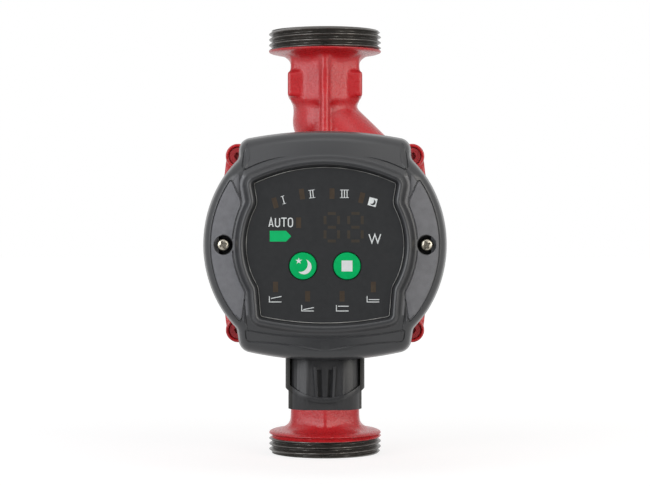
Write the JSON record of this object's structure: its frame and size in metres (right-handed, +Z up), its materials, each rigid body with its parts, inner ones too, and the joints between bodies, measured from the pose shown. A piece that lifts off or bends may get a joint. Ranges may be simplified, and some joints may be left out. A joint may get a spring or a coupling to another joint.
{
  "type": "heating circulator pump",
  "caption": "In-line wet-rotor heating circulator pump with threaded ports above and below, a front control box with display and keys, and a pull-off power plug.",
  "frame": {"origin": "centre of the lower port's end face", "axes": "+Z up the port axis to the upper port; -Y is the front with the display; +X to the right seen from the front"},
  "size_m": [0.094, 0.1282, 0.18],
  "materials": {
    "red_casting": "painted, fine cast texture",
    "red_motor": "painted, satin",
    "cover_grey": "satin moulded",
    "film_black": "matt film with clear edge",
    "black_plastic": "satin moulded",
    "green_key": "satin",
    "screw_steel": "zinc plated",
    "black_screw": "black oxide",
    "stainless": "drawn",
    "ceramic": "ground ceramic",
    "carbon": "carbon",
    "magnet": "sintered",
    "laminations": "stamped stack",
    "copper": "enamelled wire",
    "bobbin_white": "moulded",
    "composite": "moulded",
    "brass_contact": "bright",
    "seal_rubber": "matt",
    "board_green": "solder resist",
    "led_white": "clear",
    "capacitor_blue": "sleeved",
    "ferrite": "coated",
    "insert_grey": "moulded"
  },
  "bodies": {
    "frame": {"pump_housing": "red_casting", "neck_ring": "stainless", "bearing_plate": "stainless", "front_bearing": "ceramic", "rear_bearing": "ceramic", "rotor_can": "stainless", "housing_gasket": "seal_rubber", "stator_core": "laminations", "stator_bobbins": "bobbin_white", "stator_coils": "copper", "motor_housing": "red_motor", "motor_screws": "black_screw", "phase_pins": "brass_contact", "control_base": "black_plastic", "base_screws": "screw_steel", "control_seal": "seal_rubber", "front_cover": "cover_grey", "cover_screws": "screw_steel", "display_film": "film_black", "control_board": "board_green", "digit_display": "composite", "indicator_leds": "led_white", "board_capacitor": "capacitor_blue", "board_choke": "ferrite", "key_switches": "black_plastic", "power_socket": "black_plastic", "socket_blades": "brass_contact"},
    "rotor": {"impeller": "composite", "impeller_shroud": "composite", "thrust_ring": "carbon", "rotor_shaft": "ceramic", "rotor_magnet": "magnet", "rotor_sleeve": "stainless"},
    "night_key_body": {"night_key": "green_key", "night_plunger": "bobbin_white"},
    "stop_key_body": {"stop_key": "green_key", "stop_plunger": "bobbin_white"},
    "plug": {"plug_shell": "black_plastic", "plug_cap": "black_plastic", "plug_insert": "insert_grey", "plug_contacts": "brass_contact", "cable_grommet": "seal_rubber"}
  },
  "joints": [
    {"name": "rotor_spin", "type": "hinge", "parent": "frame", "child": "rotor", "pos_m": [0, -0.03, 0.09], "axis": [0, -1, 0], "continuous": true},
    {"name": "night_key_press", "type": "slide", "parent": "frame", "child": "night_key_body", "axis": [0, 1, 0], "range_m": [0, 0.0005], "stiffness_N_per_m": 2000, "springref_m": -0.0005},
    {"name": "stop_key_press", "type": "slide", "parent": "frame", "child": "stop_key_body", "axis": [0, 1, 0], "range_m": [0, 0.0005], "stiffness_N_per_m": 2000, "springref_m": -0.0005},
    {"name": "plug_pull", "type": "slide", "parent": "frame", "child": "plug", "axis": [0, 0, -1], "range_m": [0, 0.025]}
  ]
}
